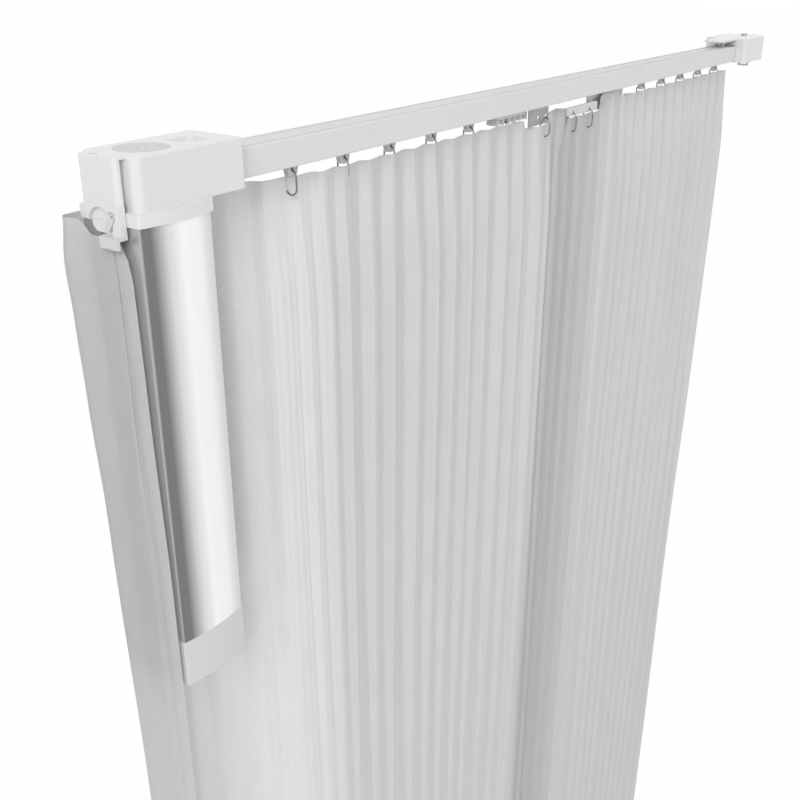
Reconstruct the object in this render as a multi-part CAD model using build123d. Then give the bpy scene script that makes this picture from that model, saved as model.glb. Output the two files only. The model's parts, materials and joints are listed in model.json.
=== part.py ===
from build123d import *
import math
import os

# Motorised curtain track with two pleated panels, in millimetres.
# X runs along the track, -Y is the room side, +Z is up.
# The origin is the middle of the track's top face.

# track
rail_span = 812.0
rail_insert = 12.0
rail_width = 25.0
rail_height = 17.0
rail_wall = 1.2
rail_roof = 2.0
rail_lip = 1.4
rail_slot = 8.4
rail_rib_gap = 9.2
rail_rib_depth = 6.5
groove_offset = 8.5
groove_width = 3.0
groove_depth = 1.0
seat_relief = 0.3

# drive line
belt_radius = 8.3
belt_thickness = 1.4
belt_height = 6.0
belt_top = -3.0
shaft_diameter = 6.0
axle_diameter = 5.0
bearing_diameter = 13.0
bearing_height = 5.0
flange_height = 1.0
tooth_count = 16

# gearbox
gearbox_length = 77.0
gearbox_depth = 42.0
gearbox_top = 8.0
gearbox_bottom = -19.5
gearbox_corner = 5.0
housing_wall = 2.0
hub_disc_diameter = 29.0
hub_disc_height = 1.0
recess_size = 18.0
recess_depth = 1.2
end_cap_length = 7.0
end_cap_depth = 28.6
end_cap_groove = 3.5
end_cap_shoulder = -16.0
leg_thickness = 3.7
leg_step = 2.9
leg_drop = 12.0
latch_window = 19.0
latch_depth = 2.2
latch_inset = 6.3
latch_level = -21.5
latch_reach = 7.2
latch_width = 4.0
latch_tilt = 35.0
latch_swing = 25.0
pin_diameter = 1.6
hook_reach = 3.0
hook_thickness = 1.5
hook_drop = 6.0

# motor
motor_width = 50.0
motor_depth = 44.0
motor_bulge = 3.0
motor_wall = 1.5
motor_length = 255.0
motor_corner = 1.5
collar_height = 7.0
collar_lip = 1.0
spigot_length = 5.5
cap_height = 33.5
plug_height = 13.0
reducer_diameter = 36.0
reducer_length = 40.0
can_diameter = 33.0
can_length = 75.0
board_width = 34.0
board_gap = 8.5
board_thickness = 1.6
socket_width = 14.0
socket_depth = 9.0
socket_height = 9.0

# pulley end
pulley_length = 78.5
pulley_depth = 50.0
pulley_bottom = -18.0
pulley_corner = 6.0
tongue_length = 44.0
tongue_width = 24.0

# gliders and rings
gliders_per_side = 5
first_glider_inset = 59.0
last_glider_inset = 30.5
glider_length = 14.0
wing_width = 19.0
wing_height = 2.0
neck_width = 6.8
head_top_width = 11.0
head_foot_width = 7.0
head_height = 7.2
head_thickness = 3.6
eye_diameter = 3.0
eye_drop = 2.8
ring_width = 10.0
ring_height = 17.0
ring_wire = 1.2

# master carriers
left_master_end = -32.0
right_master_end = 40.0
master_length = 79.0
bracket_length = 32.5
bracket_thickness = 1.0
bracket_front = 7.2
bracket_drop = 14.7
bracket_hole_diameter = 4.0
bracket_hole_drop = 8.7
bracket_hole_inset = 3.5
bracket_hole_pitch = 13.0
block_width = 10.0
block_height = 3.7
web_height = 4.4
left_web_inset = 16.5
right_web_inset = 21.25
right_web_pitches = 1.5
rib_count = 6
arm_left = -9.0
arm_right = 46.0
arm_front = 14.5
arm_thickness = 2.0
arm_top = -22.0
arm_height = 7.5
arm_ring_inset = 9.0
arm_ring_pitch = 31.0

# curtain panels
fabric_thickness = 1.2
fabric_top = -26.0
return_gap = 0.5
heading_depth = 84.0
curtain_drop = 1372.0
folds_per_pitch = 2
heading_amplitude = 3.4
body_amplitude = 8.0
left_fold_count = 26
right_lead_fold_count = 15
right_tail_fold_count = 18
raised_top = -18.4
raised_line = -8.6
ring_hole_diameter = 5.0

# clearances
slide_gap = 0.2
drop_gap = 0.3
seat_gap = 0.05
socket_gap = 0.2

# positions that follow from the sizes
rail_end = rail_span / 2
gearbox_x = -rail_end - gearbox_length / 2
gearbox_left = -rail_end - gearbox_length
end_cap_left = gearbox_left - end_cap_length
leg_right = end_cap_left + leg_thickness
drive_x = leg_right + drop_gap + collar_lip + motor_width / 2
idler_x = rail_end + pulley_length - pulley_depth / 2
cover_bottom = gearbox_top - housing_wall
lip_top = -rail_height + rail_lip
wing_bottom = lip_top + slide_gap
wing_top = wing_bottom + wing_height
neck_bottom = -rail_height - drop_gap
head_bottom = neck_bottom - 1.0 - head_height
belt_bottom = belt_top - belt_height
motor_top = gearbox_bottom - collar_height
motor_bottom = motor_top - motor_length
cap_bottom = motor_bottom - cap_height
leg_bottom = gearbox_bottom - leg_drop
glider_ring_top = neck_bottom - 1.0 - eye_drop - eye_diameter / 2 + 0.55 + ring_wire
hem_level = fabric_top - curtain_drop
arm_line = -(arm_front - arm_thickness / 2)
bracket_line = -(bracket_front - bracket_thickness / 2)
left_bracket_end = left_master_end - bracket_length
right_bracket_end = right_master_end + bracket_length
left_web_ring = left_master_end - master_length + left_web_inset
right_web_ring = right_master_end + master_length - right_web_inset
left_first_glider = -rail_end + first_glider_inset
right_last_glider = rail_end - last_glider_inset
left_pitch = (left_web_ring - left_first_glider) / gliders_per_side
right_pitch = (right_last_glider - right_web_ring) / (gliders_per_side - 1 + right_web_pitches)
right_first_glider = right_last_glider - (gliders_per_side - 1) * right_pitch
raised_end = right_web_ring - 8.0
fixing_x = rail_end - 14.0

os.makedirs("parts", exist_ok=True)


def save(shape, node):
    export_step(shape, "parts/" + node + ".step")


def slab(x0, x1, y0, y1, z0, z1):
    return Pos((x0 + x1) / 2, (y0 + y1) / 2, (z0 + z1) / 2) * Box(x1 - x0, y1 - y0, z1 - z0)


def post(x, y, z0, z1, diameter):
    return Pos(x, y, (z0 + z1) / 2) * Cylinder(diameter / 2, z1 - z0)


def cross_hole(x, y, z, length, diameter):
    return Pos(x, y, z) * Rot(90, 0, 0) * Cylinder(diameter / 2, length)


def prism(sketch, z0, z1):
    return extrude(Plane.XY.offset(z0) * sketch, amount=z1 - z0)


def corner_rounded(sketch, left_radius, right_radius):
    corners = sketch.vertices().sort_by(Axis.X)
    sketch = fillet(corners[:2], left_radius)
    return fillet(sketch.vertices().sort_by(Axis.X)[-2:], right_radius)


def smooth_step(x, start, end):
    share = min(1.0, max(0.0, (x - start) / (end - start)))
    return share * share * (3 - 2 * share)


# ---- track ----

def rail_section():
    body = Pos(0, -rail_height / 2) * RectangleRounded(rail_width, rail_height, 0.8)
    hollow_height = rail_height - rail_roof - rail_lip
    hollow = Pos(0, -rail_roof - hollow_height / 2) * Rectangle(rail_width - 2 * rail_wall, hollow_height)
    slot = Pos(0, -rail_height) * Rectangle(rail_slot, 3 * rail_lip)
    rib = Pos(0, -rail_roof - rail_rib_depth / 2) * Rectangle(1.0, rail_rib_depth + 0.2)
    section = body - hollow - slot
    for side in (-1, 1):
        section -= Pos(side * groove_offset, 0) * Rectangle(groove_width, 2 * groove_depth)
        section += Pos(side * (rail_rib_gap + 1.0) / 2, 0) * rib
    return section


rail_half = rail_end + rail_insert
track_rail = extrude(Plane.YZ.offset(-rail_half) * rail_section(), amount=2 * rail_half)
for x0, x1 in ((-rail_half - 1, -rail_end + socket_gap), (fixing_x - tongue_width / 2, rail_half + 1)):
    track_rail -= slab(x0, x1, -rail_width, rail_width, -seat_relief, 1)
save(track_rail, "track_rail")
rail_hole_height = rail_height + 2 * socket_gap
rail_hole_width = rail_width + 2 * socket_gap

# ---- belt, pulleys, shaft and bearings ----

belt_run = idler_x - drive_x
belt_middle = (idler_x + drive_x) / 2
belt_outer = SlotCenterToCenter(belt_run, 2 * belt_radius + belt_thickness)
belt_inner = SlotCenterToCenter(belt_run, 2 * belt_radius - belt_thickness)
drive_belt = prism(Pos(belt_middle, 0) * (belt_outer - belt_inner), belt_bottom, belt_top)
save(drive_belt, "drive_belt")

barrel_radius = belt_radius - belt_thickness / 2 - drop_gap
flange_radius = belt_radius + belt_thickness
flange_gap = slide_gap


def pulley(x, bore, low_hub, high_hub):
    high = belt_top + flange_gap
    low = belt_bottom - flange_gap
    body = post(x, 0, low, high, 2 * barrel_radius)
    body += post(x, 0, high, high + flange_height, 2 * flange_radius)
    body += post(x, 0, low - flange_height, low, 2 * flange_radius)
    body += post(x, 0, low_hub, high_hub, bore + 5.0)
    return body - post(x, 0, low_hub - 1, high_hub + 1, bore)


lower_bearing_bottom = gearbox_bottom + housing_wall
lower_bearing_top = lower_bearing_bottom + bearing_height
upper_bearing_bottom = cover_bottom - bearing_height
drive_pulley = pulley(
    drive_x,
    shaft_diameter + 0.04,
    lower_bearing_top + slide_gap,
    upper_bearing_bottom - slide_gap,
)
tooth_gap = Pos(barrel_radius, 0, (belt_top + belt_bottom) / 2) * Box(1.6, 1.3, belt_height)
tooth_gaps = [Pos(drive_x, 0, 0) * Rot(0, 0, 360 * n / tooth_count) * tooth_gap for n in range(tooth_count)]
save(drive_pulley - tooth_gaps, "drive_pulley")

shaft_top = cover_bottom - 1.0
shaft_foot = motor_top - spigot_length - 6.0
save(post(drive_x, 0, shaft_foot, shaft_top, shaft_diameter), "output_shaft")

bearing_bore = shaft_diameter + 2 * seat_gap
for node, level in (("lower_bearing", lower_bearing_bottom), ("upper_bearing", upper_bearing_bottom)):
    bearing = post(drive_x, 0, level, level + bearing_height, bearing_diameter)
    bearing -= post(drive_x, 0, level - 1, level + bearing_height + 1, bearing_bore)
    save(bearing, node)

idler_boss_top = belt_bottom - flange_gap - flange_height - slide_gap
idler_pulley = pulley(
    idler_x,
    axle_diameter + 2 * seat_gap,
    idler_boss_top + slide_gap,
    belt_top + flange_gap + flange_height + 1.0,
)
save(idler_pulley, "idler_pulley")
pulley_floor = pulley_bottom + housing_wall
save(post(idler_x, 0, pulley_floor, cover_bottom, axle_diameter), "idler_axle")

# ---- gearbox ----

boss_diameter = bearing_diameter + 4.0
pocket_diameter = bearing_diameter + 2 * seat_gap


def gearbox_outline(inset):
    outline = Rectangle(gearbox_length - 2 * inset, gearbox_depth - 2 * inset)
    return Pos(gearbox_x, 0) * corner_rounded(outline, gearbox_corner - inset, 3.0 - inset / 2)


gearbox_floor = gearbox_bottom + housing_wall
gearbox_housing = prism(gearbox_outline(0), gearbox_bottom, cover_bottom)
gearbox_housing -= prism(gearbox_outline(housing_wall), gearbox_floor, cover_bottom + 1)
gearbox_housing += post(drive_x, 0, gearbox_floor - 0.5, lower_bearing_top, boss_diameter)
gearbox_housing -= post(drive_x, 0, gearbox_floor, lower_bearing_top + 1, pocket_diameter)
gearbox_housing -= post(drive_x, 0, gearbox_bottom - 1, gearbox_floor + 1, shaft_diameter + 2.0)
gearbox_housing -= slab(
    -rail_end - housing_wall - 1,
    -rail_end + 1,
    -rail_hole_width / 2,
    rail_hole_width / 2,
    socket_gap - rail_hole_height,
    socket_gap,
)
save(gearbox_housing, "gearbox_housing")

recess_x = -rail_end - 23.0
gearbox_cover = prism(gearbox_outline(0), cover_bottom, gearbox_top)
gearbox_cover = chamfer(gearbox_cover.faces().sort_by(Axis.Z)[-1].edges(), 0.6)
gearbox_cover += post(drive_x, 0, upper_bearing_bottom, cover_bottom + 0.5, boss_diameter)
gearbox_cover -= post(drive_x, 0, upper_bearing_bottom - 1, cover_bottom, pocket_diameter)
disc_seat = gearbox_top - hub_disc_height
gearbox_cover -= post(drive_x, 0, disc_seat, gearbox_top + 1, hub_disc_diameter + 2 * socket_gap)
recess = RectangleRounded(recess_size, recess_size, 1.5)
gearbox_cover -= prism(Pos(recess_x, -2.0) * recess, gearbox_top - recess_depth, gearbox_top + 1)
save(gearbox_cover, "gearbox_top_cover")

hub_disc = post(drive_x, 0, disc_seat, gearbox_top, hub_disc_diameter)
hub_disc -= post(drive_x, 0, disc_seat - 1, gearbox_top + 1, 6.0)
save(hub_disc, "hub_cover_disc")

cap_half = end_cap_depth / 2
leg_back = cap_half - leg_step
cap_block = slab(end_cap_left, gearbox_left, -cap_half, cap_half, end_cap_shoulder, gearbox_top)
outer_edges = cap_block.edges().filter_by(Axis.Z).sort_by(Axis.X)[:2]
gearbox_end_cap = fillet(outer_edges, 2.5)
recess_floor = gearbox_top - 1.5
gearbox_end_cap -= slab(end_cap_left + 2.5, gearbox_left - 1.5, 3.0, 10.0, recess_floor, gearbox_top + 1)
groove_left = gearbox_left - end_cap_groove
groove_bottom = end_cap_shoulder - 1
for side in (-1, 1):
    near, far = sorted((side * (cap_half - end_cap_groove), side * (cap_half + 1)))
    gearbox_end_cap -= slab(groove_left, gearbox_left + 1, near, far, groove_bottom, disc_seat)
cap_leg = slab(end_cap_left, leg_right, -cap_half, leg_back, leg_bottom, end_cap_shoulder + 0.5)
cap_leg = chamfer(cap_leg.edges().filter_by(Axis.X).sort_by(Axis.Y)[-2:].sort_by(Axis.Z)[:1], 3.0)
gearbox_end_cap += cap_leg

latch_y = -cap_half + latch_inset
pivot = Plane(origin=(end_cap_left, latch_y, latch_level), x_dir=(0, -1, 0), z_dir=(-1, 0, 0))


def lever_outline(tilt, grow):
    outline = Pos(0, -latch_reach / 2) * SlotCenterToCenter(latch_reach, latch_width + 2 * grow, rotation=90)
    return Rot(0, 0, -tilt) * outline


window = Pos(-latch_window / 2, latch_level - end_cap_shoulder) * Circle(latch_window / 2)
for step in range(3):
    window += lever_outline(latch_tilt + step * latch_swing / 2, 2 * drop_gap)
gearbox_end_cap -= extrude(pivot * window, amount=-latch_depth)
gearbox_end_cap -= slab(
    end_cap_left - 1,
    end_cap_left + latch_depth + 0.7,
    0.0,
    leg_back + 1,
    leg_bottom - 1,
    latch_level - 3.0,
)
gearbox_end_cap -= extrude(pivot * Circle(pin_diameter / 2 + 0.02), amount=-end_cap_length)
save(gearbox_end_cap, "gearbox_end_cap")

pin_length = leg_thickness - 2 * slide_gap
save(extrude(pivot * Pos(0, 0, -slide_gap) * Circle(pin_diameter / 2), amount=-pin_length), "latch_pin")
lever = lever_outline(latch_tilt, 0.0) - Circle(pin_diameter / 2 + seat_gap)
release_latch = extrude(pivot * Pos(0, 0, -slide_gap) * lever, amount=2 * slide_gap - latch_depth)
save(release_latch, "release_latch")

hook_left = end_cap_left - hook_reach
hook_plate = slab(hook_left, leg_right, -cap_half, 0.0, leg_bottom - hook_thickness, leg_bottom)
hook_tab = slab(hook_left, hook_left + hook_thickness, -cap_half, 0.0, leg_bottom - hook_drop, leg_bottom)
save(hook_plate + hook_tab, "return_hook")

# ---- motor ----


def motor_outline(grow):
    half_x = motor_width / 2 + grow
    half_y = motor_depth / 2 + grow
    apex = half_y + motor_bulge
    front = ThreePointArc((-half_x, -half_y), (0, -apex), (half_x, -half_y))
    back = ThreePointArc((half_x, half_y), (0, apex), (-half_x, half_y))
    sides = [Line(front @ 1, back @ 0), Line(back @ 1, front @ 0)]
    outline = make_face([front, back] + sides)
    return Pos(drive_x, 0) * fillet(outline.vertices(), motor_corner)


collar = prism(motor_outline(collar_lip), motor_top, gearbox_bottom)
spigot_bottom = motor_top - spigot_length
collar += prism(motor_outline(-motor_wall - socket_gap), spigot_bottom, motor_top)
collar -= post(drive_x, 0, spigot_bottom - 1, gearbox_bottom + 1, shaft_diameter + 2.0)
save(collar, "motor_collar")

motor_shell = prism(motor_outline(0) - motor_outline(-motor_wall), motor_bottom, motor_top)
save(motor_shell, "motor_shell")

reducer_bottom = spigot_bottom - reducer_length
reducer = post(drive_x, 0, reducer_bottom, spigot_bottom, reducer_diameter)
reducer -= post(drive_x, 0, shaft_foot - 1.0, spigot_bottom + 1, shaft_diameter + 2 * seat_gap)
save(reducer, "reducer_case")
save(post(drive_x, 0, reducer_bottom - can_length, reducer_bottom, can_diameter), "motor_can")

plug_top = motor_bottom + plug_height
board_top = reducer_bottom - can_length - board_gap
board = slab(
    drive_x - board_width / 2,
    drive_x + board_width / 2,
    -board_thickness / 2,
    board_thickness / 2,
    plug_top,
    board_top,
)
save(board, "control_board")

socket_top = cap_bottom + socket_height
motor_cap = prism(motor_outline(0), cap_bottom, motor_bottom)
motor_cap = fillet(motor_cap.faces().sort_by(Axis.Z)[0].edges(), 2.0)
motor_cap += prism(motor_outline(-motor_wall - socket_gap), motor_bottom, plug_top)
motor_cap -= slab(
    drive_x - socket_width / 2 - socket_gap,
    drive_x + socket_width / 2 + socket_gap,
    -socket_depth / 2 - socket_gap,
    socket_depth / 2 + socket_gap,
    cap_bottom - 1,
    socket_top,
)
save(motor_cap, "motor_bottom_cap")

socket_wall = 1.6
socket_middle = (cap_bottom + socket_top) / 2
power_socket = Pos(drive_x, 0, socket_middle) * Box(socket_width, socket_depth, socket_height)
power_socket -= Pos(drive_x, 0, cap_bottom) * Box(
    socket_width - 2 * socket_wall,
    socket_depth - 2 * socket_wall,
    2 * (socket_height - socket_wall),
)
save(power_socket, "power_socket")

# ---- pulley end ----


def pulley_outline(inset):
    half = pulley_depth / 2 - inset
    straight = pulley_length - pulley_depth / 2 - inset
    block = Pos(rail_end + inset + straight / 2, 0) * Rectangle(straight, 2 * half)
    nose = Pos(rail_end + inset + straight, 0) * Circle(half)
    outline = block + nose
    corners = outline.vertices().sort_by(Axis.X)[:2]
    return fillet(corners, pulley_corner - inset)


pulley_housing = prism(pulley_outline(0), pulley_bottom, cover_bottom)
pulley_housing -= prism(pulley_outline(housing_wall), pulley_floor, cover_bottom + 1)
pulley_housing += post(idler_x, 0, pulley_floor - 0.5, idler_boss_top, axle_diameter + 4.0)
pulley_housing -= post(idler_x, 0, pulley_floor, idler_boss_top + 1, axle_diameter + 0.04)
pulley_housing -= slab(
    rail_end - 1,
    rail_end + rail_insert + drop_gap,
    -rail_hole_width / 2,
    rail_hole_width / 2,
    socket_gap - rail_hole_height,
    socket_gap,
)
save(pulley_housing, "pulley_housing")

tongue = Pos(rail_end - tongue_length / 2 + 5, 0) * RectangleRounded(tongue_length + 10, tongue_width, 8)
pulley_cover = prism(pulley_outline(0) + tongue, cover_bottom, gearbox_top)
pulley_cover = chamfer(pulley_cover.faces().sort_by(Axis.Z)[-1].edges(), 0.5)
save(pulley_cover, "pulley_top_cover")

tongue_fixing = post(fixing_x, 0, -seat_relief, cover_bottom, 7.0)
save(tongue_fixing, "tongue_spacer")

cover_screw = post(idler_x + 6.0, 0, gearbox_top, gearbox_top + 1.4, 7.0)
save(cover_screw, "cover_screw")

hook_x = idler_x - 10.0
hook_outer = Pos(0, -3.5) * Rectangle(12.0, 7.0)
hook_inner = Pos(0, -2.5) * Rectangle(8.0, 5.2)
hook_plane = Plane(origin=(hook_x, -8.0, pulley_bottom), x_dir=(0, 1, 0), z_dir=(1, 0, 0))
end_hook = extrude(hook_plane * (hook_outer - hook_inner), amount=2.0)
save(end_hook, "end_hook")

# ---- gliders and rings ----


def ring(x, y, top):
    centre = top - ring_height / 2
    outer = SlotOverall(ring_height, ring_width, rotation=90)
    inner = SlotOverall(ring_height - 2 * ring_wire, ring_width - 2 * ring_wire, rotation=90)
    plane = Plane(origin=(x - ring_wire / 2, y, centre), x_dir=(0, 1, 0), z_dir=(1, 0, 0))
    return extrude(plane * (outer - inner), amount=ring_wire)


def runner(x0, x1):
    middle = (x0 + x1) / 2
    length = x1 - x0
    wing = prism(Pos(middle, 0) * RectangleRounded(length, wing_width, 3.0), wing_bottom, wing_top)
    neck = slab(x0 + 3.0, x1 - 3.0, -neck_width / 2, neck_width / 2, neck_bottom, wing_bottom)
    return wing + neck


def glider(x):
    body = runner(x - glider_length / 2, x + glider_length / 2)
    shoulder_bottom = neck_bottom - 1.0
    half_top = head_top_width / 2
    half_foot = head_foot_width / 2
    body += slab(x - half_top, x + half_top, -neck_width / 2, neck_width / 2, shoulder_bottom, neck_bottom)
    profile = Polygon(
        (-half_top, 0),
        (-half_foot, -head_height),
        (half_foot, -head_height),
        (half_top, 0),
        align=None,
    )
    profile = fillet(profile.vertices().sort_by(Axis.Y)[:2], 2.0)
    plane = Plane(origin=(x, head_thickness / 2, shoulder_bottom), x_dir=(1, 0, 0), z_dir=(0, -1, 0))
    body += extrude(plane * profile, amount=head_thickness)
    eye_z = shoulder_bottom - eye_drop
    return body - cross_hole(x, 0, eye_z, head_thickness + 2, eye_diameter)


left_gliders = [left_first_glider + n * left_pitch for n in range(gliders_per_side)]
right_gliders = [right_first_glider + n * right_pitch for n in range(gliders_per_side)]
for side, places in (("left", left_gliders), ("right", right_gliders)):
    for number, place in enumerate(places, start=1):
        save(glider(place), f"{side}_glider_{number}")
        save(ring(place, 0, glider_ring_top), f"{side}_ring_{number}")

# ---- master carriers ----

block_bottom = neck_bottom - block_height
web_bottom = block_bottom - web_height
web_eye_z = block_bottom - 2.4
web_ring_top = web_eye_z - eye_diameter / 2 + 0.55 + ring_wire
bracket_hole_z = neck_bottom - bracket_hole_drop
bracket_ring_top = bracket_hole_z - bracket_hole_diameter / 2 + 0.2 + ring_wire
bracket_bottom = neck_bottom - bracket_drop


def master_carrier(end, outward, ring_x):
    far = end + outward * master_length
    x0, x1 = sorted((end, far))
    start, stop = sorted((end + outward * bracket_length, far))
    body = runner(x0, x1)
    body += slab(start, stop, -block_width / 2, block_width / 2, block_bottom, neck_bottom)
    half_web = head_thickness / 2
    body += slab(start, stop, -half_web, half_web, web_bottom, block_bottom)
    rib_pitch = (stop - start - 1.6) / (rib_count - 1)
    for n in range(rib_count):
        left = start + n * rib_pitch
        body += slab(left, left + 1.6, -block_width / 2, block_width / 2, web_bottom, block_bottom)
    return body - cross_hole(ring_x, 0, web_eye_z, head_thickness + 2, eye_diameter)


def master_bracket(end, outward):
    x0, x1 = sorted((end, end + outward * bracket_length))
    flange_bottom = neck_bottom - bracket_thickness
    body = slab(x0, x1, -bracket_front, block_width / 2, flange_bottom, neck_bottom)
    body += slab(x0, x1, -bracket_front, bracket_thickness - bracket_front, bracket_bottom, neck_bottom)
    for n in range(2):
        hole_x = end + outward * (bracket_hole_inset + n * bracket_hole_pitch)
        body -= cross_hole(hole_x, bracket_line, bracket_hole_z, 4.0, bracket_hole_diameter)
    return body


def belt_clip(end, outward, side):
    x0, x1 = sorted((end + outward * 24.0, end + outward * 44.0))
    inner = side * (belt_radius - belt_thickness / 2 - drop_gap)
    outer = side * (belt_radius + belt_thickness / 2 + drop_gap)
    inner_face = inner - side * 1.0
    outer_face = outer + side * 1.2
    seat = belt_bottom - drop_gap
    low, high = sorted((inner_face, outer_face))
    body = slab(x0, x1, low, high, wing_top, seat)
    for face, wall in ((inner, inner_face), (outer, outer_face)):
        low, high = sorted((face, wall))
        body += slab(x0, x1, low, high, seat, belt_top)
    return body


left_bracket_ring = left_master_end - bracket_hole_inset
save(master_carrier(left_master_end, -1, left_web_ring), "left_master_carrier")
save(master_carrier(right_master_end, 1, right_web_ring), "right_master_carrier")
save(master_bracket(left_master_end, -1), "left_master_bracket")
save(master_bracket(right_master_end, 1), "right_master_bracket")
save(belt_clip(left_master_end, -1, -1), "left_belt_clip")
save(belt_clip(right_master_end, 1, 1), "right_belt_clip")

left_master_rings = [
    ring(left_web_ring, 0, web_ring_top),
    ring(left_bracket_ring, bracket_line, bracket_ring_top),
]
save(Compound(children=left_master_rings), "left_master_rings")
save(ring(right_web_ring, 0, web_ring_top), "right_master_ring")

arm_bottom = arm_top - arm_height
arm_eye_z = arm_bottom + 2.9
arm_ring_top = arm_eye_z - eye_diameter / 2 + 0.25 + ring_wire
arm_rings_x = [arm_left + arm_ring_inset + n * arm_ring_pitch for n in range(2)]
overlap_arm = slab(arm_left, arm_right, -arm_front, arm_thickness - arm_front, arm_bottom, arm_top)
overlap_arm = fillet(overlap_arm.edges().filter_by(Axis.Y), 1.5)
overlap_arm += slab(
    right_master_end + 1.0,
    arm_right,
    arm_thickness - arm_front - 0.5,
    -bracket_front,
    arm_top - 3.5,
    arm_top - 0.5,
)
for x in arm_rings_x:
    overlap_arm -= cross_hole(x, arm_line, arm_eye_z, arm_thickness + 2, eye_diameter)
save(overlap_arm, "overlap_arm")
save(Compound(children=[ring(x, arm_line, arm_ring_top) for x in arm_rings_x]), "overlap_rings")

# ---- curtain panels ----


def side_run(path, distance):
    moved = []
    for n, (x, y) in enumerate(path[:-1]):
        x0, y0 = path[max(n - 1, 0)]
        x1, y1 = path[n + 1]
        length = math.hypot(x1 - x0, y1 - y0)
        moved.append((x - distance * (y1 - y0) / length, y + distance * (x1 - x0) / length))
    return moved


def side_folds(origin, half_fold, first, last, line, depth, distance):
    joins = []
    crests = []
    for n in range(first, last + 1):
        x = origin + n * half_fold
        way = 1 if n % 2 else -1
        lean = 2 * math.atan(2 * depth(x) / half_fold)
        joins.append((x - distance * way * math.sin(lean), line(x) + distance * math.cos(lean)))
        middle = x + half_fold / 2
        crests.append((middle, line(middle) + way * depth(middle) + distance))
    return joins, crests


def side_edges(run, distance, folds):
    joins, crests = side_folds(*folds, distance)
    edges = [ThreePointArc(joins[n], crests[n], joins[n + 1]) for n in range(len(joins) - 1)]
    if run:
        edges.insert(0, Spline(*(side_run(run + [joins[0]], distance) + [joins[0]])))
    return edges


def panel_section(level, run, *folds):
    front = side_edges(run, -fabric_thickness / 2, folds)
    back = side_edges(run, fabric_thickness / 2, folds)
    ends = [Line(front[-1] @ 1, back[-1] @ 1), Line(back[0] @ 0, front[0] @ 0)]
    return Plane.XY.offset(level) * make_face(front + back + ends)


def left_line(x):
    toward = smooth_step(x, left_bracket_end, left_bracket_end + 14.0)
    back = smooth_step(x, left_master_end, left_master_end + 15.0)
    return bracket_line * toward + 3.0 * back


def right_line(x):
    lifted = smooth_step(x, right_bracket_end + 1.5, right_bracket_end + 11.5)
    clear = smooth_step(x, raised_end, raised_end + 9.0)
    return (arm_line + (raised_line - arm_line) * lifted) * (1 - clear)


return_x = end_cap_left + return_gap
return_y = motor_depth / 2 + motor_bulge + 7.5
left_fold = left_pitch / folds_per_pitch / 2
right_fold = right_pitch / folds_per_pitch / 2


def left_section(level, inward, free_edge, full, leading):
    def depth(x):
        near_end = smooth_step(x, left_bracket_end - 16.0, left_bracket_end + 4.0)
        return full * (1 + 0.15 * math.sin(x / 37.0)) * (1 - near_end) + leading * near_end

    x = return_x + inward
    run = [
        (x, free_edge),
        (x, 0.0),
        (x - 0.8, 12.0),
        (x - 0.4, return_y - 9.0),
        (x + 5.0, return_y - 1.5),
        (x + 24.0, return_y),
        (drive_x + motor_width / 2, return_y - 1.5),
        (-rail_end - 2.0, return_y - 5.0),
        (-rail_end + 0.3 * first_glider_inset, return_y - 14.0),
        (-rail_end + 0.64 * first_glider_inset, return_y - 23.0),
    ]
    return panel_section(level, run, left_gliders[0], left_fold, 0, left_fold_count, left_line, depth)


def right_section(level, full, leading):
    def depth(x):
        past_arm = smooth_step(x, right_web_ring - 6.0, right_web_ring + 18.0)
        return full * (1 + 0.15 * math.sin(x / 41.0)) * past_arm + leading * (1 - past_arm)

    origin = right_gliders[0]
    return panel_section(
        level,
        [],
        origin,
        right_fold,
        -right_lead_fold_count,
        right_tail_fold_count,
        right_line,
        depth,
    )


body_level = fabric_top - heading_depth
left_curtain = loft(
    [
        left_section(hem_level, 2.0, -23.0, body_amplitude, 5.0),
        left_section(body_level, 0.5, -20.0, body_amplitude, 3.2),
        left_section(fabric_top, 0.0, -12.0, heading_amplitude, 2.0),
    ],
    ruled=True,
)
right_curtain = loft(
    [
        right_section(hem_level, body_amplitude, 5.0),
        right_section(body_level, body_amplitude, 3.4),
        right_section(raised_top, heading_amplitude, 2.4),
    ],
    ruled=True,
)


def ring_hole(x, top):
    return cross_hole(x, 0, top - ring_height + 0.9, 2 * motor_depth, ring_hole_diameter)


left_curtain -= [ring_hole(x, glider_ring_top) for x in left_gliders]
left_curtain -= ring_hole(left_web_ring, web_ring_top)
left_curtain -= ring_hole(left_bracket_ring, bracket_ring_top)
left_curtain -= slab(
    left_bracket_end - 1.5,
    left_master_end + 1.0,
    -20.0,
    20.0,
    bracket_bottom - 0.5,
    fabric_top + 5,
)
left_curtain -= slab(
    end_cap_left - 5.0,
    leg_right + 1.0,
    -motor_depth,
    leg_back + 1.0,
    leg_bottom - hook_thickness - drop_gap,
    fabric_top + 5,
)
save(left_curtain, "left_curtain")

right_curtain -= [ring_hole(x, glider_ring_top) for x in right_gliders]
right_curtain -= ring_hole(right_web_ring, web_ring_top)
right_curtain -= [ring_hole(x, arm_ring_top) for x in arm_rings_x]
right_curtain -= slab(
    right_gliders[0] - right_lead_fold_count * right_fold - 5.0,
    arm_right + 4.0,
    -30.0,
    20.0,
    arm_bottom - 1.0,
    raised_top + 1,
)
right_curtain -= slab(arm_right, right_bracket_end - 8.0, -30.0, 20.0, fabric_top, raised_top + 1)
right_curtain -= slab(raised_end, rail_end, -30.0, 20.0, fabric_top, raised_top + 1)
save(right_curtain, "right_curtain")
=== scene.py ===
import json
import math

import bpy
from mathutils import Matrix, Vector


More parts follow.
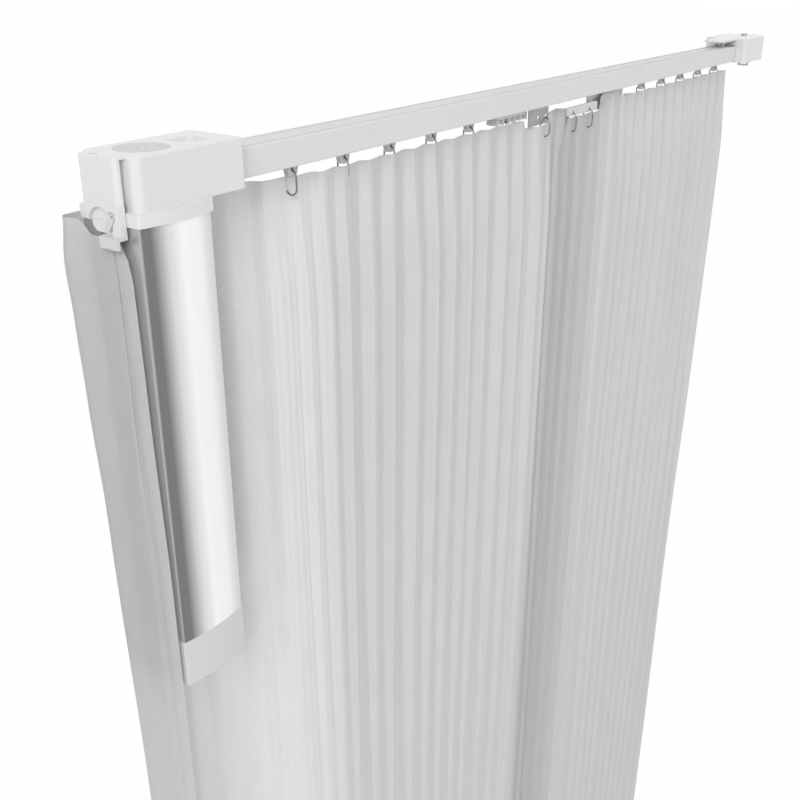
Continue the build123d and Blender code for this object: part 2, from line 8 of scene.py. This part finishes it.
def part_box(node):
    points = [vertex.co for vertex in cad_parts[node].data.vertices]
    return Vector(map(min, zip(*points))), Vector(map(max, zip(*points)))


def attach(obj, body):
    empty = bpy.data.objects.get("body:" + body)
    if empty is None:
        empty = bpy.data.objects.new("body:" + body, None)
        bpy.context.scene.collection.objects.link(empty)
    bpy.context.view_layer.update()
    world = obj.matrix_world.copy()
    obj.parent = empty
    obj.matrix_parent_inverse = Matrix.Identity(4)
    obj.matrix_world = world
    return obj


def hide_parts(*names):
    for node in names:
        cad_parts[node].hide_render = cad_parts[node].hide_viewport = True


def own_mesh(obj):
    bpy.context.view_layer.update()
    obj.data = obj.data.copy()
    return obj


MM = 0.001

# The camera, fitted to the photograph.
CAMERA_PLACE = (-0.8045, -0.4166, 0.1008)
CAMERA_FORWARD = (0.7366, 0.5375, -0.4104)
CAMERA_RIGHT = (0.5894, -0.8078, 0.0)
LENS_MM = 45.0
SENSOR_MM = 36.0

# The cloth, in millimetres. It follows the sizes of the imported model.
TOP = -26.0
HEM = -1398.0
DROP = TOP - HEM
HEADING = 84.0
FOLD_PITCH = 25.25
LEFT_ORIGIN = -347.0
RIGHT_ORIGIN = 173.5
RETURN_CORNER = -484.0
LEFT_ANCHOR = -406.0
LEFT_MOVING = -111.0
RIGHT_MOVING = 119.0
LEFT_EDGE = 6.5
RIGHT_EDGE = -16.0
RIGHT_END = 400.75
BRACKET_LINE = -6.7
ARM_LINE = -13.5
BLOCK_LINE = -8.6

# The cloth's grid and its pleats.
COLUMN_STEP = 1.1
SIDE_STEP = 0.014
PLEAT_DEPTH = 4.2
LEFT_LEAD_DEPTH = 3.0
RIGHT_LEAD_DEPTH = 1.6
HEADING_PLEAT = 2.1
LEFT_HEADING_LEAD = 1.4
RIGHT_HEADING_LEAD = 0.9
PLEAT_SHIFT = 0.42
RING_LINE = -3.6

# The light, and how much of the floor's white is its own.
AMBIENT = 0.57
BACKGROUND = 1.0
KEY_WATTS = 50.0
FRONT_WATTS = 10.0
FLOOR_GAP = 12.0
FLOOR_HALF_WIDTH = 30.0
FLOOR_GLOW = 0.985

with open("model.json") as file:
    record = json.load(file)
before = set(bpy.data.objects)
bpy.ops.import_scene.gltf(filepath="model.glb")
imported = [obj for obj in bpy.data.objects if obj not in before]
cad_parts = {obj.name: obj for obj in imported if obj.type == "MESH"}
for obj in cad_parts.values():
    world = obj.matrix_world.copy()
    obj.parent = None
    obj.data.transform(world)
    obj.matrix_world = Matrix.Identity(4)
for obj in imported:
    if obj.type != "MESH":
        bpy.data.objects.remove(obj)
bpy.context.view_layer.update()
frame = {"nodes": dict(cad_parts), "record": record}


# ---- camera, floor and light ----


def add_camera():
    data = bpy.data.cameras.new("camera")
    data.lens = LENS_MM
    data.sensor_width = SENSOR_MM
    data.clip_start = 0.01
    data.clip_end = 100.0
    camera = bpy.data.objects.new("camera", data)
    bpy.context.scene.collection.objects.link(camera)
    back = -Vector(CAMERA_FORWARD).normalized()
    right = Vector(CAMERA_RIGHT).normalized()
    turn = Matrix((right, back.cross(right), back)).transposed()
    camera.matrix_world = Matrix.Translation(CAMERA_PLACE) @ turn.to_4x4()
    bpy.context.scene.camera = camera


def add_light(name, place, target, size, watts):
    data = bpy.data.lights.new(name, "AREA")
    data.shape = "RECTANGLE"
    data.size, data.size_y = size
    data.energy = watts
    light = bpy.data.objects.new(name, data)
    bpy.context.scene.collection.objects.link(light)
    light.location = place
    light.rotation_mode = "QUATERNION"
    light.rotation_quaternion = (Vector(target) - Vector(place)).to_track_quat("-Z", "Y")


def seen_directly(nodes, links):
    """1 for camera, glossy and transmission rays, 0 for the rays that light the object."""
    path = nodes.new("ShaderNodeLightPath")
    total = path.outputs["Is Camera Ray"]
    for kind in ("Is Glossy Ray", "Is Transmission Ray"):
        largest = nodes.new("ShaderNodeMath")
        largest.operation = "MAXIMUM"
        links.new(total, largest.inputs[0])
        links.new(path.outputs[kind], largest.inputs[1])
        total = largest.outputs["Value"]
    return total


def add_world(ambient, shown):
    world = bpy.data.worlds.new("studio")
    bpy.context.scene.world = world
    world.use_nodes = True
    nodes, links = world.node_tree.nodes, world.node_tree.links
    nodes.clear()
    soft = nodes.new("ShaderNodeBackground")
    soft.inputs["Color"].default_value = (0.96, 0.98, 1.0, 1.0)
    soft.inputs["Strength"].default_value = ambient
    white = nodes.new("ShaderNodeBackground")
    white.inputs["Color"].default_value = (1.0, 1.0, 1.0, 1.0)
    white.inputs["Strength"].default_value = shown
    mix = nodes.new("ShaderNodeMixShader")
    out = nodes.new("ShaderNodeOutputWorld")
    links.new(seen_directly(nodes, links), mix.inputs["Fac"])
    links.new(soft.outputs["Background"], mix.inputs[1])
    links.new(white.outputs["Background"], mix.inputs[2])
    links.new(mix.outputs["Shader"], out.inputs["Surface"])


def add_floor():
    mesh = bpy.data.meshes.new("floor")
    half = FLOOR_HALF_WIDTH
    level = (HEM - FLOOR_GAP) * MM
    corners = [(x, y, level) for x, y in ((-half, -half), (half, -half), (half, half), (-half, half))]
    mesh.from_pydata(corners, [], [(0, 1, 2, 3)])
    floor = bpy.data.objects.new("floor", mesh)
    bpy.context.scene.collection.objects.link(floor)
    mesh.materials.append(floor_paint())


# ---- materials ----


class Paint:
    """A material with one Principled shader and short calls for the nodes that feed it."""

    def __init__(self, name, colour, roughness, **sockets):
        self.material = bpy.data.materials.new(name)
        self.material.use_nodes = True
        self.tree = self.material.node_tree
        self.shader = self.tree.nodes["Principled BSDF"]
        self.out = self.tree.nodes["Material Output"]
        self.set("Base Color", (*colour, 1.0))
        self.set("Roughness", roughness)
        for socket, value in sockets.items():
            self.set(socket.replace("_", " "), value)

    def set(self, socket, value):
        self.shader.inputs[socket].default_value = value

    def node(self, kind, **settings):
        made = self.tree.nodes.new(kind)
        for key, value in settings.items():
            if key in made.inputs:
                made.inputs[key].default_value = value
            else:
                setattr(made, key, value)
        return made

    def link(self, source, target):
        self.tree.links.new(source, target)

    def coordinates(self, scale, output="Object"):
        place = self.node("ShaderNodeTexCoord")
        mapping = self.node("ShaderNodeMapping")
        mapping.inputs["Scale"].default_value = scale
        self.link(place.outputs[output], mapping.inputs["Vector"])
        return mapping.outputs["Vector"]

    def noise(self, vector, scale, detail=2.0):
        made = self.node("ShaderNodeTexNoise")
        made.inputs["Scale"].default_value = scale
        made.inputs["Detail"].default_value = detail
        self.link(vector, made.inputs["Vector"])
        return made.outputs["Fac"]

    def ramp(self, factor, stops):
        made = self.node("ShaderNodeValToRGB")
        elements = made.color_ramp.elements
        while len(elements) < len(stops):
            elements.new(0.5)
        for element, (position, colour) in zip(elements, stops):
            element.position = position
            element.color = (*colour, 1.0) if len(colour) == 3 else colour
        self.link(factor, made.inputs["Fac"])
        return made.outputs["Color"]

    def product(self, factor, share=1.0):
        """A node that multiplies the colour at input 6 by factor, in part where share is under 1."""
        made = self.node("ShaderNodeMix", data_type="RGBA", blend_type="MULTIPLY")
        made.inputs["Factor"].default_value = share
        self.link(factor, made.inputs[7])
        return made

    def bump(self, height, strength, distance):
        made = self.node("ShaderNodeBump")
        made.inputs["Strength"].default_value = strength
        made.inputs["Distance"].default_value = distance
        self.link(height, made.inputs["Height"])
        self.link(made.outputs["Normal"], self.shader.inputs["Normal"])
        return made


def grey(value):
    return (value, value, value)


def floor_paint():
    paint = Paint("floor_white", grey(0.9), 0.9)
    paint.set("Specular IOR Level", 0.0)
    glow = paint.node("ShaderNodeEmission")
    glow.inputs["Color"].default_value = (1.0, 1.0, 1.0, 1.0)
    glow.inputs["Strength"].default_value = 1.0
    both = paint.node("ShaderNodeMixShader")
    share = paint.node("ShaderNodeMath", operation="MULTIPLY")
    share.inputs[1].default_value = FLOOR_GLOW
    paint.link(seen_directly(paint.tree.nodes, paint.tree.links), share.inputs[0])
    paint.link(share.outputs["Value"], both.inputs["Fac"])
    paint.link(paint.shader.outputs["BSDF"], both.inputs[1])
    paint.link(glow.outputs["Emission"], both.inputs[2])
    paint.link(both.outputs["Shader"], paint.out.inputs["Surface"])
    return paint.material


def coated_paint(name, tone, roughness, grain, coat=0.0):
    """White paint or moulded plastic: a faint orange peel and a slight change of tone."""
    paint = Paint(name, grey(tone), roughness)
    paint.set("Coat Weight", coat)
    paint.set("Coat Roughness", 0.08)
    place = paint.coordinates((1.0, 1.0, 1.0))
    tint = paint.noise(place, 18.0)
    low = (tone * 0.975, tone * 0.98, tone * 0.985)
    high = (tone * 1.0, tone * 1.005, tone * 1.01)
    paint.link(paint.ramp(tint, [(0.35, low), (0.65, high)]), paint.shader.inputs["Base Color"])
    paint.bump(paint.noise(place, grain, 3.0), 0.12, 0.0002)
    return paint.material


def motor_paint():
    """Brushed extrusion: fine upright lines, with painted reflection and shade: the base colour is darker
    or brighter by the way the face points.
    """
    paint = Paint("brushed_aluminium_painted_reflection", grey(0.75), 0.34, Metallic=0.55, Anisotropic=0.4)
    geometry = paint.node("ShaderNodeNewGeometry")
    split = paint.node("ShaderNodeSeparateXYZ")
    paint.link(geometry.outputs["Normal"], split.inputs["Vector"])
    shift = paint.node("ShaderNodeMath", operation="MULTIPLY_ADD")
    shift.inputs[1].default_value = 0.5
    shift.inputs[2].default_value = 0.5
    paint.link(split.outputs["X"], shift.inputs[0])
    # Painted reflection and shade: bands of base colour set by the face's direction stand in for a lit
    # polished curve.
    stops = [
        (0.02, grey(0.50)),
        (0.372, grey(0.17)),
        (0.41, grey(0.20)),
        (0.455, grey(0.72)),
        (0.50, grey(0.98)),
        (0.56, grey(0.96)),
        (0.60, grey(0.74)),
        (0.63, grey(0.30)),
    ]
    painted_reflection_band = paint.ramp(shift.outputs["Value"], stops)
    lines = paint.noise(paint.coordinates((900.0, 900.0, 6.0)), 1.0, 2.0)
    mix = paint.product(paint.ramp(lines, [(0.3, grey(0.88)), (0.7, grey(1.0))]), 0.35)
    paint.link(painted_reflection_band, mix.inputs[6])
    paint.link(mix.outputs[2], paint.shader.inputs["Base Color"])
    paint.bump(lines, 0.05, 0.0001)
    return paint.material


def metal_paint(name, tone, roughness, grain=(300.0, 300.0, 300.0)):
    paint = Paint(name, grey(tone), roughness, Metallic=1.0)
    lines = paint.noise(paint.coordinates(grain), 1.0, 2.0)
    low, high = grey(tone * 0.8), grey(tone)
    paint.link(paint.ramp(lines, [(0.35, low), (0.65, high)]), paint.shader.inputs["Base Color"])
    paint.bump(lines, 0.08, 0.0001)
    return paint.material


def milky_paint():
    """Translucent moulded plastic of the gliders."""
    paint = Paint("milky_plastic", grey(0.80), 0.22)
    paint.set("Transmission Weight", 0.35)
    paint.set("IOR", 1.45)
    place = paint.coordinates((1.0, 1.0, 1.0))
    tint = paint.noise(place, 160.0)
    paint.link(paint.ramp(tint, [(0.3, grey(0.70)), (0.7, grey(0.84))]), paint.shader.inputs["Base Color"])
    paint.bump(tint, 0.05, 0.0002)
    return paint.material


def fabric_paint(name, start, end, painted_shade_before, painted_shade_after):
    """Semi-sheer weave: short raised dashes in rows, with light passing through from behind.

    Painted light and shade: the colour and the light let through are lighter or darker between two places
    along the track, in metres."""
    bright, dark = 0.92, 0.79
    paint = Paint(name, grey(bright), 0.75)
    paint.set("Sheen Weight", 0.25)
    paint.set("Sheen Roughness", 0.5)
    paint.set("Specular IOR Level", 0.25)
    place = paint.coordinates((1.0, 1.0, 1.0), "UV")
    brick = paint.node("ShaderNodeTexBrick", offset=0.5)
    brick.inputs["Scale"].default_value = 1.0
    brick.inputs["Brick Width"].default_value = 0.0030
    brick.inputs["Row Height"].default_value = 0.0015
    brick.inputs["Mortar Size"].default_value = 0.00022
    brick.inputs["Mortar Smooth"].default_value = 0.6
    brick.inputs["Bias"].default_value = 0.0
    brick.inputs["Color1"].default_value = (1.0, 1.0, 1.0, 1.0)
    brick.inputs["Color2"].default_value = (0.80, 0.80, 0.80, 1.0)
    brick.inputs["Mortar"].default_value = (0.35, 0.35, 0.35, 1.0)
    paint.link(place, brick.inputs["Vector"])
    patches = paint.noise(paint.coordinates((60.0, 25.0, 1.0), "UV"), 1.0, 3.0)
    weave = paint.ramp(brick.outputs["Color"], [(0.3, grey(dark)), (1.0, grey(bright))])
    mix = paint.product(paint.ramp(patches, [(0.3, (0.955, 0.96, 0.965)), (0.7, grey(1.0))]))
    paint.link(weave, mix.inputs[6])
    through = paint.node("ShaderNodeBsdfTranslucent")
    split = paint.node("ShaderNodeSeparateXYZ")
    paint.link(paint.coordinates((1.0, 1.0, 1.0)), split.inputs["Vector"])
    along = paint.node("ShaderNodeMapRange")
    along.inputs["From Min"].default_value = start
    along.inputs["From Max"].default_value = end
    paint.link(split.outputs["X"], along.inputs["Value"])
    # Painted shade: a ramp along object X lightens or darkens the colour and the translucency.
    shade = paint.ramp(along.outputs["Result"], [(0.0, grey(painted_shade_before)), (1.0, grey(painted_shade_after))])
    front = paint.product(shade)
    paint.link(mix.outputs[2], front.inputs[6])
    paint.link(front.outputs[2], paint.shader.inputs["Base Color"])
    behind = paint.product(shade)
    behind.inputs[6].default_value = (0.80, 0.81, 0.82, 1.0)
    paint.link(behind.outputs[2], through.inputs["Color"])
    paint.bump(brick.outputs["Color"], 0.35, 0.0004)
    both = paint.node("ShaderNodeMixShader")
    both.inputs["Fac"].default_value = 0.30
    paint.link(paint.shader.outputs["BSDF"], both.inputs[1])
    paint.link(through.outputs["BSDF"], both.inputs[2])
    paint.link(both.outputs["Shader"], paint.out.inputs["Surface"])
    return paint.material


def paint_nodes():
    rail = coated_paint("powder_coat", 0.74, 0.38, 2600.0)
    gloss = coated_paint("gloss_housing", 0.76, 0.22, 900.0, 0.4)
    plain = coated_paint("white_plastic", 0.66, 0.35, 1500.0, 0.1)
    disc = coated_paint("grey_disc", 0.66, 0.4, 1200.0)
    dark = coated_paint("dark_plastic", 0.05, 0.4, 1200.0)
    board = coated_paint("board", 0.12, 0.5, 400.0)
    rubber = coated_paint("belt_rubber", 0.03, 0.6, 700.0)
    milky = milky_paint()
    steel = metal_paint("bracket_steel", 0.40, 0.32, (60.0, 900.0, 900.0))
    silver = motor_paint()
    by_slot = {
        "white_coat": rail,
        "white_gloss": gloss,
        "white_plastic": plain,
        "grey_disc": disc,
        "silver": silver,
        "steel": steel,
        "wire": steel,
        "glider_plastic": milky,
        "belt_rubber": rubber,
        "board": board,
        "dark_plastic": dark,
    }
    for part in frame["record"]["subparts"]:
        material = by_slot.get(part["material_slot"])
        if material is None:
            continue
        node = frame["nodes"][part["node"]]
        node.data.materials.clear()
        node.data.materials.append(material)


# ---- rings ----


def add_ring(name, body, centres, replaced, wire_paint):
    """Round-wire loops that stand for square-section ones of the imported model."""
    width, height, wire = 10.0, 17.0, 1.2
    curve = bpy.data.curves.new(name, "CURVE")
    curve.dimensions = "3D"
    curve.bevel_depth = wire / 2 * MM
    curve.bevel_resolution = 4
    radius = (width - wire) / 2
    straight = (height - width) / 2
    for x, y, z in centres:
        turns = 12
        points = []
        for half, lift in ((0, straight), (1, -straight)):
            for n in range(turns + 1):
                angle = math.pi * (half + n / turns)
                points.append((x, y + radius * math.cos(angle), z + lift + radius * math.sin(angle)))
        spline = curve.splines.new("POLY")
        spline.points.add(len(points) - 1)
        for point, place in zip(spline.points, points):
            point.co = (*[c * MM for c in place], 1.0)
        spline.use_cyclic_u = True
    curve.materials.append(wire_paint)
    made = bpy.data.objects.new(name, curve)
    bpy.context.scene.collection.objects.link(made)
    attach(made, body)
    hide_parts(replaced)


def ring_centres(node):
    """The middle of each loop in a node of one or two loops."""
    low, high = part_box(node)
    low, high = low / MM, high / MM
    if high.x - low.x < 3.0:
        return [((low.x + high.x) / 2, (low.y + high.y) / 2, (low.z + high.z) / 2)]
    mesh = frame["nodes"][node].data
    middle = (low.x + high.x) / 2
    centres = []
    for side in (-1, 1):
        points = [v.co / MM for v in mesh.vertices if (v.co.x / MM - middle) * side > 0]
        spans = [[f(p[axis] for p in points) for f in (min, max)] for axis in range(3)]
        centres.append(tuple((a + b) / 2 for a, b in spans))
    return centres


def add_rings(wire_paint):
    for body, members in frame["record"]["behaviour"]["bodies"].items():
        for node in members:
            if "_ring" in node:
                add_ring(f"{node}_wire", body, ring_centres(node), node, wire_paint)


# ---- curtain panels ----


def smooth(x, start, end):
    share = min(1.0, max(0.0, (x - start) / (end - start)))
    return share * share * (3 - 2 * share)


def levels(top):
    """Heights of the rows: close together in the heading, further apart below."""
    rows = []
    depth = 0.0
    step = 3.0
    while depth < DROP - (TOP - top) - 20.0:
        rows.append(top - depth)
        depth += step
        step = min(step * 1.12, 34.0)
    rows += [HEM + 12.0, HEM]
    return rows


def ripple(x, terms):
    return sum(size * math.sin(x / length + start) for size, length, start in terms)


def scatter(n, seed):
    """A number from 0 to 1 that belongs to fold n."""
    value = math.sin(n * 12.9898 + seed * 78.233) * 43758.5453
    return value - math.floor(value)


def pleat(q, seed):
    """One fold a unit: a short step towards the room, then a long flat front that recedes."""
    n = math.floor(q)
    f = q - n
    step = 0.20 + 0.16 * scatter(n, seed)
    behind, ahead = 0.75 + 0.5 * scatter(n, seed + 1), 0.75 + 0.5 * scatter(n + 1, seed + 1)
    front = -0.7 - 0.6 * scatter(n, seed + 2)
    if f < step:
        share = smooth(f, 0.0, step)
        return behind + (front - behind) * share
    share = (f - step) / (1 - step)
    share = 0.45 * share + 0.55 * smooth(share, 0.0, 1.0)
    return front + (ahead - front) * share


def fold_offset(u, z, q, top_depth, low_depth, seed):
    """How far the folds carry the point at u along the cloth: along the track and across it."""
    depth = TOP - z
    grown = smooth(depth, -6.0, HEADING + 10.0)
    low = smooth(depth, 120.0, 700.0)
    q += grown * ripple(u + seed, [(0.12, 23.0, 0.7), (0.06, 9.7, 2.1)])
    q += 0.20 * low * math.sin(z / 310.0 + (u + seed) / 57.0)
    size = top_depth + (low_depth - top_depth) * grown
    size *= 1.0 - 0.72 * low
    across = size * pleat(q, seed) - 2.6 * grown
    fine = 2 * math.pi * (u + seed) / 7.3 + 2.2 * math.sin((u + seed) / 29.0) + z / 420.0
    across += (0.10 + 0.20 * grown) * (1 - 0.5 * low) * math.sin(fine)
    return -0.8 * grown * math.sin(2 * math.pi * q), across


def left_line(u):
    toward = smooth(u, -64.5, -50.5)
    back = smooth(u, -32.0, -17.0)
    bend = 31.0 * (1 - smooth(u, -430.0, -340.0))
    hung = RING_LINE * smooth(u, -343.0, -318.0) * (1 - toward) + 1.6 * (1 - smooth(u, -340.0, -325.0))
    return BRACKET_LINE * toward + 4.6 * back + bend + hung


def left_point(u, z):
    near_end = smooth(u, -80.0, -60.0)
    start = smooth(u, RETURN_CORNER - 2.0, RETURN_CORNER + 22.0)
    seam = smooth(abs(u - LEFT_ANCHOR), 0.0, 8.0)
    low_depth = (PLEAT_DEPTH * (1 - near_end) + LEFT_LEAD_DEPTH * near_end) * start
    top_depth = (HEADING_PLEAT * (1 - near_end) + LEFT_HEADING_LEAD * near_end) * start
    q = (u - LEFT_ORIGIN) / FOLD_PITCH + PLEAT_SHIFT - 0.44 * (1 - smooth(u, -343.0, -318.0))
    along, across = fold_offset(u, z, q, top_depth, low_depth, 0.0)
    edge = smooth(u, LEFT_EDGE - 12.0, LEFT_EDGE)
    last_step = -5.0 * smooth(u, LEFT_EDGE - 13.0, LEFT_EDGE - 7.0)
    return u + along * start * seam * (1 - edge), left_line(u) + across * (1 - 0.7 * edge) + last_step


def right_line(u):
    lifted = smooth(u, 50.0, 70.0)
    return ARM_LINE * (1 - lifted) + BLOCK_LINE * lifted * (1 - smooth(u, 112.0, 136.0))


def right_point(u, z):
    lead = 1 - smooth(u, 96.0, 124.0)
    low_depth = PLEAT_DEPTH * (1 - lead) + RIGHT_LEAD_DEPTH * lead
    top_depth = HEADING_PLEAT * (1 - lead) + RIGHT_HEADING_LEAD * lead
    q = (u - RIGHT_ORIGIN) / FOLD_PITCH + PLEAT_SHIFT
    along, across = fold_offset(u, z, q, top_depth, low_depth, 700.0)
    hung = RING_LINE * smooth(u, 128.0, 150.0)
    ends = smooth(u, RIGHT_EDGE, RIGHT_EDGE + 10.0) * (1 - smooth(u, RIGHT_END - 10.0, RIGHT_END))
    drawn = 9.0 * (1 - smooth(TOP - z, 2.0, 34.0)) * (1 - smooth(u, RIGHT_EDGE, RIGHT_EDGE + 24.0))
    return u + along * ends + drawn, right_line(u) + across + hung


def left_top(u):
    """Height of the cloth's top edge along the left panel."""
    under_bracket = smooth(u, -70.0, -66.0) * (1 - smooth(u, -31.5, -28.0))
    return TOP - 7.0 * under_bracket + 2.0 * smooth(u, -31.0, -27.0)


def right_top(u):
    raised = smooth(u, 55.0, 68.0) * (1 - smooth(u, 104.0, 116.0))
    under_arm = 1 - smooth(u, 49.0, 54.0)
    return TOP - 5.0 * under_arm + 7.6 * raised


def spread(start, end, step):
    count = max(1, round((end - start) / step))
    return [start + (end - start) * n / count for n in range(count + 1)]


def panel_mesh(name, columns, place, top_edge):
    """One piece of cloth. The weave's map is the length along the cloth and the height."""
    heights = levels(TOP)
    rows = len(heights)
    points = []
    for u in columns:
        top = top_edge(u)
        for z in heights:
            share = (z - HEM) / DROP
            level = HEM + share * (top - HEM)
            x, y = place(u, level)
            points.append((x * MM, y * MM, level * MM))
    middle = rows // 2
    along = [0.0]
    for c in range(1, len(columns)):
        a = points[(c - 1) * rows + middle]
        b = points[c * rows + middle]
        along.append(along[-1] + math.dist(a, b))
    faces = []
    for c in range(len(columns) - 1):
        for r in range(rows - 1):
            a = c * rows + r
            faces.append((a, a + 1, a + rows + 1, a + rows))
    mesh = bpy.data.meshes.new(name)
    mesh.from_pydata(points, [], faces)
    uv = mesh.uv_layers.new(name="weave")
    for loop in mesh.loops:
        column = loop.vertex_index // rows
        uv.data[loop.index].uv = (along[column], points[loop.vertex_index][2])
    mesh.polygons.foreach_set("use_smooth", [True] * len(mesh.polygons))
    made = bpy.data.objects.new(name, mesh)
    bpy.context.scene.collection.objects.link(made)
    return made, along[-1]


def add_panel(name, body, columns, place, top_edge, material, replaced=None):
    made, width = panel_mesh(name, columns, place, top_edge)
    made.data.materials.append(material)
    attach(made, body)
    if replaced:
        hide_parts(replaced)
    return made


# Heights with the place of the side's free edge across the track, and of its back edge along it.
FREE_EDGE = [
    (-32.0, -8.0),
    (-38.0, -12.0),
    (-44.0, -15.0),
    (-56.0, -17.0),
    (-120.0, -18.0),
    (-250.0, -21.0),
    (HEM, -24.0),
]
BACK_EDGE = [
    (-26.0, -492.5),
    (-51.0, -494.9),
    (-84.0, -493.7),
    (-131.0, -492.7),
    (-211.0, -490.3),
    (-437.0, -487.1),
    (HEM, -487.1),
]


def at_height(table, z):
    """The value at height z on a line through the table's heights, which fall."""
    for (z0, v0), (z1, v1) in zip(table, table[1:]):
        if z >= z1:
            return v0 + (v1 - v0) * smooth(z, z0, z1)
    return table[-1][1]


def return_path(z):
    free = at_height(FREE_EDGE, z)
    corner = at_height(BACK_EDGE, z)
    deep = smooth(TOP - z, 6.0, 120.0)
    start = left_point(RETURN_CORNER, z)
    beyond = left_point(RETURN_CORNER + 6.0, z)
    return [
        (-488.2, free),
        (-488.6 - 1.5 * deep, free + 6.0),
        (-488.8, free + 11.0),
        (-489.0 - 1.6 * deep, -2.0 + 0.2 * free),
        (-488.8 + 0.2 * deep, 8.0),
        (-488.8 + 0.6 * deep, 14.0),
        (0.5 * corner - 244.4, 20.5),
        (corner, 27.5),
        (corner + 2.2, 31.5),
        start,
        beyond,
    ]


def along_path(path, share):
    """A point on a smooth line through the path's points, but its last, which only sets the direction."""
    spans = len(path) - 2
    position = min(share * spans, spans - 1e-6)
    n = int(position)
    t = position - n
    p1, p2, p3 = path[n], path[n + 1], path[n + 2]
    p0 = path[n - 1] if n else tuple(2 * a - b for a, b in zip(p1, p2))
    place = []
    for a, b, c, d in zip(p0, p1, p2, p3):
        square = 2 * a - 5 * b + 4 * c - d
        cube = 3 * b - a - 3 * c + d
        place.append(0.5 * (2 * b + (c - a) * t + square * t * t + cube * t ** 3))
    return place


def return_point(place, z):
    """The side of the panel for place 0 to 1, and its back from there on, in millimetres of track."""
    if place <= 1.0:
        return along_path(return_path(z), place)
    return left_point(RETURN_CORNER + place - 1.0, z)


def return_top(place):
    """The side's top edge is held down under the foot of the end cap."""
    if place > 1.0:
        return TOP
    return TOP - 7.5 * (1 - smooth(place, 0.50, 0.66))


def add_curtains():
    material = fabric_paint("sheer_weave", 0.0, 1.0, 0.85, 0.85)
    # Painted light: the left panel's cloth is lighter nearest the motor end.
    left_material = fabric_paint("sheer_weave_left_painted_light", -0.350, -0.300, 1.0, 0.85)
    # Painted shade: the side's cloth is darker at the return round the end.
    side_material = fabric_paint("sheer_weave_side_painted_shade", -0.4862, -0.474, 0.78, 1.0)
    # Painted shade: the leading cloth is darker where it lies over the other panel.
    lead_material = fabric_paint("sheer_weave_lead_painted_shade", 0.030, 0.075, 0.69, 0.85)
    root = "track_assembly"
    add_panel(
        "left_return_cloth",
        root,
        spread(0.0, 1.0, SIDE_STEP) + spread(1.0, 1.0 + LEFT_ANCHOR - RETURN_CORNER, COLUMN_STEP)[1:],
        return_point,
        return_top,
        side_material,
    )
    left = add_panel(
        "left_panel_cloth",
        root,
        spread(LEFT_ANCHOR, LEFT_MOVING, COLUMN_STEP),
        left_point,
        left_top,
        left_material,
        "left_curtain",
    )
    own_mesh(left)
    add_panel(
        "left_leading_cloth",
        "left_master",
        spread(LEFT_MOVING, LEFT_EDGE, COLUMN_STEP),
        left_point,
        left_top,
        material,
    )
    right = add_panel(
        "right_panel_cloth",
        root,
        spread(RIGHT_MOVING, RIGHT_END, COLUMN_STEP),
        right_point,
        right_top,
        material,
        "right_curtain",
    )
    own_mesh(right)
    add_panel(
        "right_leading_cloth",
        "right_master",
        spread(RIGHT_EDGE, RIGHT_MOVING, COLUMN_STEP),
        right_point,
        right_top,
        lead_material,
    )


add_camera()
bpy.context.scene.view_settings.view_transform = "Standard"
add_world(AMBIENT, BACKGROUND)
add_floor()
add_light("key", (-2.5, -1.4, 1.5), (0.0, 0.0, -0.5), (1.4, 1.8), KEY_WATTS)
add_light("front", (0.6, -2.6, 0.9), (0.0, 0.0, -0.5), (2.0, 1.6), FRONT_WATTS)
paint_nodes()
add_rings(metal_paint("wire_steel", 0.32, 0.2))
add_curtains()
